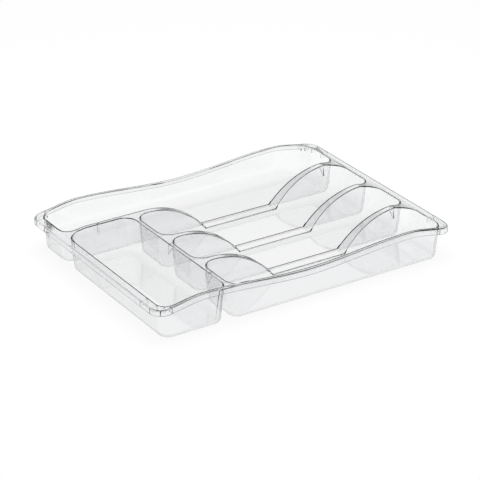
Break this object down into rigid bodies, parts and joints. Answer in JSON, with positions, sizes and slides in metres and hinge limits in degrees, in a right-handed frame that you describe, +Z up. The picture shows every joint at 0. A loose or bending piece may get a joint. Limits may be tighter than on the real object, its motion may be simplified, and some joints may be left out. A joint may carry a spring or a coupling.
{
  "type": "cutlery tray",
  "caption": "Clear one-piece moulded cutlery tray with a long bin, a cross bin and short bins parted by low arched dividers, under a wavy flanged rim.",
  "frame": {"origin": "centre of the tray's outline on the plane it stands on", "axes": "+X along the length, from the cross bin to the closed ends of the short bins; +Y from the short bins to the long bin; +Z up"},
  "size_m": [0.397, 0.2904, 0.048],
  "materials": {
    "clear_plastic": "clear, colourless, polished moulded plastic"
  },
  "bodies": {
    "root": {"long_bin": "clear_plastic", "cross_bin": "clear_plastic", "short_bin_front": "clear_plastic", "short_bin_middle": "clear_plastic", "short_bin_back": "clear_plastic", "divider_front": "clear_plastic", "divider_middle": "clear_plastic", "divider_back": "clear_plastic", "long_strip": "clear_plastic", "cross_strip": "clear_plastic", "rim_front": "clear_plastic", "rim_back": "clear_plastic", "rim_left": "clear_plastic", "rim_right": "clear_plastic", "rim_corner_front_left": "clear_plastic", "rim_corner_front_right": "clear_plastic", "rim_corner_back_left": "clear_plastic", "rim_corner_back_right": "clear_plastic", "gussets_front_left": "clear_plastic", "gussets_front_right": "clear_plastic", "gussets_back_left": "clear_plastic", "gussets_back_right": "clear_plastic", "stacking_ribs_dividers": "clear_plastic", "stacking_ribs_strips": "clear_plastic"}
  },
  "joints": []
}
